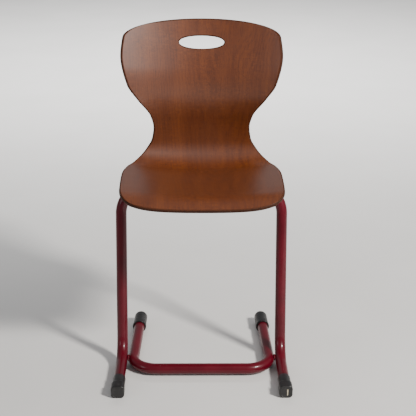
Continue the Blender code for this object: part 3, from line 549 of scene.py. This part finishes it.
class Nodes:
    """Short spellings for building a node tree."""

    def __init__(self, name):
        self.material = bpy.data.materials.new(name)
        self.material.use_nodes = True
        self.tree = self.material.node_tree
        self.shader = self.tree.nodes["Principled BSDF"]

    def node(self, kind, **settings):
        made = self.tree.nodes.new(kind)
        for key, value in settings.items():
            setattr(made, key, value)
        return made

    def link(self, source, target):
        self.tree.links.new(source, target)
        return target

    def put(self, socket, value):
        if isinstance(value, bpy.types.NodeSocket):
            self.link(value, socket)
        else:
            socket.default_value = value

    def math(self, operation, a, b=0.0):
        made = self.node("ShaderNodeMath", operation=operation)
        for socket, value in zip(made.inputs, (a, b)):
            self.put(socket, value)
        return made.outputs[0]

    def plus(self, a, b):
        return self.math("ADD", a, b)

    def minus(self, a, b):
        return self.math("SUBTRACT", a, b)

    def times(self, a, b):
        return self.math("MULTIPLY", a, b)

    def uv(self, label):
        split = self.node("ShaderNodeSeparateXYZ")
        self.link(self.node("ShaderNodeUVMap", uv_map=label).outputs[0], split.inputs[0])
        return split.outputs[0], split.outputs[1]

    def stretched(self, x, across, s, along, layer):
        """Sheet coordinates scaled apart, so that noise on them is drawn out one way."""
        made = self.node("ShaderNodeCombineXYZ")
        for socket, value in zip(made.inputs, (self.times(x, across), self.times(s, along), layer)):
            self.put(socket, value)
        return made.outputs[0]

    def local(self):
        return self.node("ShaderNodeTexCoord").outputs["Object"]

    def noise(self, where, scale, detail=3.0, rough=0.5, distortion=0.0):
        made = self.node("ShaderNodeTexNoise")
        self.link(where, made.inputs["Vector"])
        made.inputs["Scale"].default_value = scale
        made.inputs["Detail"].default_value = detail
        made.inputs["Roughness"].default_value = rough
        made.inputs["Distortion"].default_value = distortion
        return made.outputs[0]

    def spread(self, value, low, high, to_low=0.0, to_high=1.0):
        made = self.node("ShaderNodeMapRange")
        self.put(made.inputs["Value"], value)
        made.inputs["From Min"].default_value = low
        made.inputs["From Max"].default_value = high
        made.inputs["To Min"].default_value = to_low
        made.inputs["To Max"].default_value = to_high
        return made.outputs[0]

    def mix(self, share, a, b):
        made = self.node("ShaderNodeMix", data_type="RGBA")
        factor, _, _, _, _, _, first, second = list(made.inputs)[:8]
        self.put(factor, share)
        for socket, colour in ((first, a), (second, b)):
            self.put(socket, colour if isinstance(colour, bpy.types.NodeSocket) else (*colour, 1.0))
        return made.outputs[2]

    def ramp(self, value, stops):
        made = self.node("ShaderNodeValToRGB")
        self.put(made.inputs[0], value)
        elements = made.color_ramp.elements
        while len(elements) < len(stops):
            elements.new(0.5)
        for element, (place, colour) in zip(elements, stops):
            element.position = place
            element.color = (*colour, 1.0)
        return made.outputs[0]

    def bump(self, height, strength, distance):
        made = self.node("ShaderNodeBump")
        self.link(height, made.inputs["Height"])
        made.inputs["Strength"].default_value = strength
        made.inputs["Distance"].default_value = distance
        self.link(made.outputs[0], self.shader.inputs["Normal"])

    def set(self, **values):
        for key, value in values.items():
            self.put(self.shader.inputs[key.replace("_", " ")], value)


def wood_material():
    """Stained, lacquered veneer whose grain runs along the profile."""
    n = Nodes("lacquered_veneer")
    x, s = n.uv("sheet")
    depth, _ = n.uv("ply")
    # the two faces lie apart in the noise, so each has a figure of its own
    layer = n.times(depth, 7.0)
    wander = n.noise(n.stretched(x, 3.0, s, 1.4, layer), 3.0, 2.0)
    xw = n.plus(x, n.times(wander, 0.05))
    # broad bands, fine streaks and short pores, all drawn out along the profile
    broad = n.noise(n.stretched(xw, 26.0, s, 1.6, layer), 1.0, 4.0, 0.55)
    streak = n.noise(n.stretched(xw, 420.0, s, 13.0, layer), 1.0, 4.0, 0.6)
    pores = n.noise(n.stretched(xw, 1000.0, s, 70.0, layer), 1.0, 2.0, 0.5)
    # cathedral figure: arches standing along the profile
    off = n.minus(xw, SHEET_MIDDLE + ARCH_ASIDE)
    arch = n.plus(n.times(n.times(off, off), 190.0), n.times(s, -3.4))
    arch = n.plus(arch, n.times(wander, 2.4))
    wave = n.math("SINE", n.times(arch, 19.0))
    wave = n.math("POWER", n.plus(n.times(wave, 0.5), 0.5), 2.0)
    # cross figure: short ripples over the grain, strongest in drifting patches
    ripple = n.noise(n.stretched(xw, 120.0, s, 210.0, layer), 1.0, 3.0, 0.6, 1.2)
    patch = n.noise(n.stretched(x, 11.0, s, 9.0, layer), 1.0, 2.0)
    ripple = n.times(n.minus(ripple, 0.5), n.spread(patch, 0.40, 0.62, 0.15, 1.0))
    tone = n.plus(n.times(broad, 0.36), n.times(streak, 0.27))
    tone = n.plus(n.plus(tone, 0.19), n.times(ripple, 0.42))
    tone = n.minus(tone, n.times(wave, 0.042))
    colour = n.ramp(tone, VENEER_TONES)
    colour = n.mix(n.spread(pores, 0.31, 0.42, 0.60, 0.0), colour, PORE_COLOUR)
    n.set(Base_Color=colour)
    cloud = n.noise(n.stretched(x, 9.0, s, 9.0, layer), 1.0, 3.0)
    n.set(Roughness=n.spread(cloud, 0.3, 0.7, 0.36, 0.46))
    n.set(Coat_Weight=0.60, Coat_Roughness=0.33, Specular_IOR_Level=0.50)
    n.bump(n.plus(n.times(streak, 0.6), n.times(pores, 0.4)), 0.16, 0.0006)
    return n.material


def ply_edge_material():
    """Cut edge of the plywood: stained, glued layers with open pores."""
    n = Nodes("plywood_edge")
    x, s = n.uv("sheet")
    depth, rim = n.uv("ply")
    layer = n.spread(n.math("SINE", n.times(depth, 6.2832 * GLUED_LAYERS)), -0.35, 0.35)
    grain = n.noise(n.stretched(x, 400.0, s, 400.0, depth), 1.0, 2.0)
    colour = n.mix(layer, *EDGE_LAYER_COLOURS)
    colour = n.mix(n.spread(grain, 0.4, 0.7, 0.0, 0.5), colour, EDGE_PORE_COLOUR)
    colour = n.mix(n.spread(rim, 0.0, 0.55), EDGE_RIM_COLOUR, colour)
    n.set(Base_Color=colour)
    n.set(Roughness=n.spread(grain, 0.3, 0.7, 0.50, 0.66))
    n.set(Specular_IOR_Level=0.15)
    n.bump(n.plus(n.times(layer, 0.3), grain), 0.15, 0.0003)
    return n.material


def coat_material(name="powder_coat", tint=1.0):
    """Crimson powder coat with cloudy tone, fine grit and rare small chips."""
    n = Nodes(name)
    where = n.local()
    cloud = n.noise(where, 14.0, 4.0, 0.6)
    grit = n.noise(where, 900.0, 2.0, 0.5)
    base = n.ramp(cloud, [(place, tuple(c * tint for c in colour)) for place, colour in COAT_TONES])
    chips = n.node("ShaderNodeTexVoronoi", feature="F1")
    n.link(where, chips.inputs["Vector"])
    chips.inputs["Scale"].default_value = 95.0
    rare = n.noise(where, 37.0, 2.0)
    spot = n.times(n.spread(chips.outputs["Distance"], 0.13, 0.10), n.spread(rare, 0.585, 0.60))
    colour = n.mix(n.times(spot, 0.85), base, CHIP_COLOUR)
    colour = n.mix(n.spread(grit, 0.66, 0.74, 0.0, 0.20), colour, GRIT_COLOUR)
    n.set(Base_Color=colour)
    n.set(Roughness=n.spread(cloud, 0.3, 0.7, 0.30, 0.40))
    n.set(Coat_Weight=0.30, Coat_Roughness=0.08, Specular_IOR_Level=0.18)
    n.bump(n.minus(n.times(grit, 0.5), spot), 0.12, 0.0004)
    return n.material


def rub_mark(n, where, rub):
    """Share of a pale upright rub mark on the end face of the right front foot."""
    split = n.node("ShaderNodeSeparateXYZ")
    n.link(where, split.inputs[0])
    across, along, up = split.outputs
    ragged = n.times(n.minus(rub, 0.5), 0.004)
    aside = n.math("ABSOLUTE", n.minus(n.plus(across, ragged), RUB_X))
    tall = n.math("ABSOLUTE", n.minus(n.plus(up, ragged), RUB_HEIGHT))
    mark = n.times(n.spread(aside, 0.0015, 0.0008), n.spread(tall, 0.0080, 0.0068))
    return n.times(mark, n.spread(along, 0.0017 - HALF_LENGTH, 0.0011 - HALF_LENGTH))


def plastic_material(name, dark, light, rough, scuffed=False):
    n = Nodes(name)
    where = n.local()
    cloud = n.noise(where, 40.0, 4.0, 0.6)
    grain = n.noise(where, 1600.0, 2.0, 0.5)
    rub = n.noise(where, 130.0, 5.0, 0.7, 0.6)
    colour = n.ramp(cloud, ((0.32, dark), (0.70, light)))
    worn = tuple(min(1.0, c * 2.6 + 0.02) for c in light)
    colour = n.mix(n.spread(rub, 0.56, 0.72, 0.0, 0.40), colour, worn)
    if scuffed:
        colour = n.mix(rub_mark(n, where, rub), colour, RUB_COLOUR)
    n.set(Base_Color=colour)
    n.set(Roughness=n.spread(rub, 0.3, 0.7, rough - 0.06, rough + 0.12))
    n.bump(n.plus(n.times(grain, 0.6), n.times(rub, 0.4)), 0.22, 0.0004)
    return n.material


def metal_material(name, base, shade, rough):
    n = Nodes(name)
    where = n.local()
    cloud = n.noise(where, 120.0, 4.0, 0.6)
    grain = n.noise(where, 2600.0, 2.0, 0.5)
    n.set(Base_Color=n.ramp(cloud, ((0.35, shade), (0.65, base))))
    n.set(Metallic=1.0)
    n.set(Roughness=n.spread(cloud, 0.3, 0.7, rough, rough + 0.16))
    n.bump(grain, 0.12, 0.0002)
    return n.material


# ------------------------------------------------------------ frame pieces
def make_tube(name, node, path, material):
    frames = path_frames(path)
    outer = tube_loops(frames, TUBE_RADIUS)
    inner = tube_loops(frames, TUBE_RADIUS - TUBE_WALL)
    points, faces = stitch(outer + inner[::-1], ring=True)
    tube = new_piece(name, points, faces, material)
    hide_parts(node)


def arch_path():
    front = to_y(FRAME_LENGTH - CAP_END_WALL - TUBE_END_GAP)
    root, top = to_y(LEG_ROOT_FROM_REAR), to_y(CROSS_FORWARD)
    corners = (
        (-LEG_X, front, FLOOR_AXIS_Z), (-LEG_X, root, FLOOR_AXIS_Z), (-LEG_X, top, CROSS_UP),
        (LEG_X, top, CROSS_UP), (LEG_X, root, FLOOR_AXIS_Z), (LEG_X, front, FLOOR_AXIS_Z),
    )
    return bent_path(corners, (LEG_BEND_RADIUS, SHOULDER_RADIUS, SHOULDER_RADIUS, LEG_BEND_RADIUS))


def floor_path():
    rear, cross = to_y(CAP_END_WALL + TUBE_END_GAP), to_y(CROSSBAR_FROM_REAR)
    narrow = RUNNER_X - RUNNER_TOE_IN
    corners = (
        (-narrow, rear, FLOOR_AXIS_Z), (-RUNNER_X, cross, FLOOR_AXIS_Z),
        (RUNNER_X, cross, FLOOR_AXIS_Z), (narrow, rear, FLOOR_AXIS_Z),
    )
    return bent_path(corners, (FLOOR_BEND_RADIUS, FLOOR_BEND_RADIUS))


def rounded_square(angle, half_wide, top, bottom, corner):
    centre, half_tall = (top - bottom) / 2, (top + bottom) / 2
    dx, dz = math.cos(angle), math.sin(angle)
    low, high = 0.0, 2 * (half_wide + half_tall)
    for _ in range(40):
        reach = (low + high) / 2
        over_x = max(abs(dx * reach) - half_wide + corner, 0.0)
        over_z = max(abs(dz * reach) - half_tall + corner, 0.0)
        if math.hypot(over_x, over_z) <= corner:
            low = reach
        else:
            high = reach
    return dx * low, centre + dz * low


def front_cap_stages():
    """Stations from the sleeve's mouth to the dished end: forward, squareness, inset."""
    back = FRAME_LENGTH - FRONT_CAP_LENGTH
    block = FRAME_LENGTH - FRONT_BLOCK_LENGTH
    stages = [(back + FRONT_MOUTH_CHAMFER, 0.0, FRONT_MOUTH_FACE), (back, 0.0, FRONT_MOUTH_CHAMFER)]
    stages += [(back, 0.0, 0.0), (back + 2 * FRONT_MOUTH_CHAMFER, 0.0, 0.0)]
    for i in range(SLEEVE_RINGS):
        stages.append((back + SLEEVE_RING_START + SLEEVE_RING_SPAN * i / SLEEVE_RINGS, 0.0, 0.0))
    for i in range(FRONT_STEP_RINGS + 1):
        share = i / FRONT_STEP_RINGS
        forward = block - FRONT_STEP_LENGTH + FRONT_STEP_LENGTH * share
        stages.append((forward, share * share * (3 - 2 * share), 0.0))
    stages += [(block + BLOCK_RING_PITCH * i, 1.0, 0.0) for i in range(1, 6)]
    for i in range(7):
        angle = math.pi / 2 * i / 6
        forward = FRAME_LENGTH - FRONT_END_ROUND * (1 - math.sin(angle))
        stages.append((forward, 1.0, FRONT_END_ROUND * (1 - math.cos(angle))))
    rim, wall, middle = FRONT_DISH_INSETS
    stages.append((FRAME_LENGTH, 1.0, rim))
    return stages + [(FRAME_LENGTH - FRONT_DISH_DEPTH, 1.0, inset) for inset in (wall, middle)]


def make_front_cap(side, hand, material):
    """Thin sleeve, a soft step, then the squared foot block with a dished end."""
    x = side * LEG_X
    loops = []
    for forward, square, inset in front_cap_stages():
        sleeve = FRONT_SLEEVE_RADIUS - inset
        corner = max(FRONT_BLOCK_CORNER - inset, 0.0004)
        loop = []
        for angle in turns(CAP_SEGMENTS, 0.5):
            rx, rz = sleeve * math.cos(angle), sleeve * math.sin(angle)
            bx, bz = rounded_square(
                angle, FRONT_BLOCK_WIDTH / 2 - inset, FRONT_BLOCK_TOP - inset,
                FLOOR_AXIS_Z - inset, corner,
            )
            px, pz = rx + (bx - rx) * square, rz + (bz - rz) * square
            loop.append(Vector((x + px, to_y(forward), FLOOR_AXIS_Z + pz)))
        loops.append(loop)
    mouth = FRAME_LENGTH - FRONT_CAP_LENGTH + FRONT_MOUTH_CHAMFER
    bore = [round_loop(x, forward, CAP_BORE) for forward in (FRAME_LENGTH - CAP_END_WALL, mouth)]
    finish_cap(f"{hand}_front_foot", f"{hand}_front_foot_cap", loops, bore, material)


def round_loop(x, forward, radius):
    """A ring about the floor tube's axis, flattened where it would dip below the floor."""
    loop = []
    for angle in turns(CAP_SEGMENTS, 0.5):
        rise = max(radius * math.sin(angle), -FLOOR_AXIS_Z)
        loop.append(Vector((x + radius * math.cos(angle), to_y(forward), FLOOR_AXIS_Z + rise)))
    return loop


def finish_cap(name, node, loops, bore, material):
    points, faces = stitch(loops, start=False)
    first, count = len(points), len(loops[0])
    inner_points, inner_faces = stitch(bore, end=False)
    points += inner_points
    faces += [tuple(first + v for v in face) for face in inner_faces]
    for j in range(count):
        k = (j + 1) % count
        faces.append((j, k, first + count + k, first + count + j))
    cap = new_piece(name, points, faces, material, sharp=32.0)
    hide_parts(node)


def rear_cap_stages():
    """Stations from the mouth to the rounded end: distance from the rear, radius."""
    length, rim, body = REAR_CAP_LENGTH, REAR_RIM_RADIUS, REAR_CAP_RADIUS
    rim_end = length - REAR_RIM_LENGTH
    stages = [(length - REAR_MOUTH_CHAMFER, CAP_BORE + REAR_MOUTH_CHAMFER)]
    stages += [(length, CAP_BORE + REAR_MOUTH_FACE), (length, rim - REAR_RIM_ROUND)]
    for i in range(1, 5):
        angle = math.pi / 2 * i / 4
        forward = length - REAR_RIM_ROUND * (1 - math.cos(angle))
        stages.append((forward, rim - REAR_RIM_ROUND * (1 - math.sin(angle))))
    stages += [(rim_end + 0.0006, rim), (rim_end, rim - 0.0005)]
    stages += [(rim_end - 0.0004, body), (rim_end - 0.004, body)]
    for groove in range(REAR_GROOVES):
        start = rim_end - REAR_GROOVE_START - groove * REAR_GROOVE_PITCH
        stages += [(start, body), (start - 0.0004, body - REAR_GROOVE_DEPTH)]
        stages += [(start - 0.0012, body - REAR_GROOVE_DEPTH), (start - 0.0016, body)]
    for i in range(13):
        angle = math.pi / 2 * i / 12
        forward = REAR_END_ROUND * (1 - math.sin(angle))
        stages.append((forward, body - REAR_END_ROUND * (1 - math.cos(angle))))
    return stages + [(0.0, REAR_TIP_RADIUS)]


def make_rear_cap(side, hand, material):
    """Round cap with a rim at its mouth, three shallow grooves and a rounded end."""
    narrow = RUNNER_X - RUNNER_TOE_IN
    tube_end = CAP_END_WALL + TUBE_END_GAP
    lean = RUNNER_TOE_IN / (CROSSBAR_FROM_REAR - CAP_END_WALL - TUBE_END_GAP)

    def ring(forward, radius):
        return round_loop(side * (narrow + lean * (forward - tube_end)), forward, radius)

    loops = [ring(forward, radius) for forward, radius in rear_cap_stages()]
    mouth = REAR_CAP_LENGTH - REAR_MOUTH_CHAMFER
    bore = [ring(forward, CAP_BORE) for forward in (CAP_END_WALL, mouth)]
    finish_cap(f"{hand}_rear_foot", f"{hand}_rear_foot_cap", loops, bore, material)


# ------------------------------------------------------------ build
wood = wood_material()
coat = coat_material()
weld_coat = coat_material("coated_weld_bead", 0.92)
plastic = plastic_material("foot_plastic", FOOT_DARK, FOOT_LIGHT, 0.36)
scuffed = plastic_material("scuffed_foot_plastic", FOOT_DARK, FOOT_LIGHT, 0.36, scuffed=True)
pad_plastic = plastic_material("spacer_plastic", (0.045, 0.045, 0.047), (0.075, 0.075, 0.078), 0.60)
zinc = metal_material("zinc_plate", (0.62, 0.61, 0.57), (0.42, 0.41, 0.38), 0.28)
brass = metal_material("turned_brass", (0.62, 0.44, 0.18), (0.42, 0.28, 0.10), 0.30)

make_shell(wood, ply_edge_material())
make_tube("arch_tube", "main_frame_tube", arch_path(), coat)
make_tube("floor_loop_tube", "floor_tube", floor_path(), coat)
for side, hand in ((-1, "left"), (1, "right")):
    make_front_cap(side, hand, scuffed if hand == "right" else plastic)
    make_rear_cap(side, hand, plastic)

FINISHES = {
    "red_powder_coat": coat,
    "coated_weld": weld_coat,
    "grey_plastic": pad_plastic,
    "zinc_steel": zinc,
    "brass": brass,
}
for entry in frame["record"]["subparts"]:
    finish = FINISHES.get(entry["material_slot"])
    node = frame["nodes"].get(entry["node"])
    if finish is None or node is None:
        continue
    node.data.materials.clear()
    node.data.materials.append(finish)


# ------------------------------------------------------------ camera, floor and light
CAMERA_PLACE = (-0.016, -2.2136, 1.1707)
CAMERA_PITCH = math.radians(19.470)
CAMERA_YAW = math.radians(0.794)
CAMERA_ROLL = math.radians(-0.280)
CAMERA_LENS = 87.16
FLOOR_HALF = 9
FLOOR_DROP = 0.0002
FLOOR_TONES = ((0.3, (0.66, 0.65, 0.635)), (0.7, (0.69, 0.68, 0.665)))
SKY_COLOUR = (0.93, 0.94, 0.96, 1.0)
SKY_STRENGTH = 0.33


def aim(obj, target):
    direction = Vector(target) - obj.location
    obj.rotation_euler = direction.to_track_quat("-Z", "Y").to_euler()


def make_camera():
    data = bpy.data.cameras.new("camera")
    data.sensor_width = 36.0
    data.lens = CAMERA_LENS
    camera = bpy.data.objects.new("camera", data)
    bpy.context.scene.collection.objects.link(camera)
    pitch, yaw, roll = CAMERA_PITCH, CAMERA_YAW, CAMERA_ROLL
    forward = Vector(
        (math.sin(yaw) * math.cos(pitch), math.cos(yaw) * math.cos(pitch), -math.sin(pitch))
    )
    right = Vector((math.cos(yaw), -math.sin(yaw), 0.0))
    down = forward.cross(right)
    across = right * math.cos(roll) + down * math.sin(roll)
    up = right * math.sin(roll) - down * math.cos(roll)
    rotation = Matrix((across, up, -forward)).transposed()
    camera.matrix_world = Matrix.Translation(CAMERA_PLACE) @ rotation.to_4x4()
    bpy.context.scene.camera = camera


def make_light(name, place, target, size, power, colour):
    data = bpy.data.lights.new(name, "AREA")
    data.shape = "SQUARE"
    data.size = size
    data.energy = power
    data.color = colour
    light = bpy.data.objects.new(name, data)
    light.location = place
    bpy.context.scene.collection.objects.link(light)
    aim(light, target)
    return light


def make_floor():
    mesh = bpy.data.meshes.new("floor")
    corners = [(x * FLOOR_HALF, y * FLOOR_HALF, 0) for x, y in ((-1, -1), (1, -1), (1, 1), (-1, 1))]
    mesh.from_pydata(corners, [], [(0, 1, 2, 3)])
    floor = bpy.data.objects.new("floor", mesh)
    n = Nodes("pale_floor")
    n.set(Base_Color=n.ramp(n.noise(n.local(), 3.0, 3.0), FLOOR_TONES))
    n.set(Roughness=0.55)
    mesh.materials.append(n.material)
    bpy.context.scene.collection.objects.link(floor)
    floor.location.z = -FLOOR_DROP


make_camera()
make_floor()
make_light(
    "key", place=(2.35, -1.95, 2.65), target=(0.0, 0.0, 0.45),
    size=0.50, power=250.0, colour=(1.0, 0.965, 0.92),
)
make_light(
    "fill_left", place=(-3.0, -1.8, 1.6), target=(0.0, 0.0, 0.55),
    size=1.1, power=14.0, colour=(0.97, 0.96, 1.0),
)
# lights the floor behind the chair, and isn't mirrored in the lacquer
rear = make_light(
    "rear_floor", place=(0.0, 3.4, 3.0), target=(0.0, 5.5, 0.0),
    size=3.5, power=400.0, colour=(1.0, 1.0, 1.0),
)
rear.visible_glossy = False
world = bpy.data.worlds.new("studio")
world.use_nodes = True
world.node_tree.nodes["Background"].inputs[0].default_value = SKY_COLOUR
world.node_tree.nodes["Background"].inputs[1].default_value = SKY_STRENGTH
bpy.context.scene.world = world
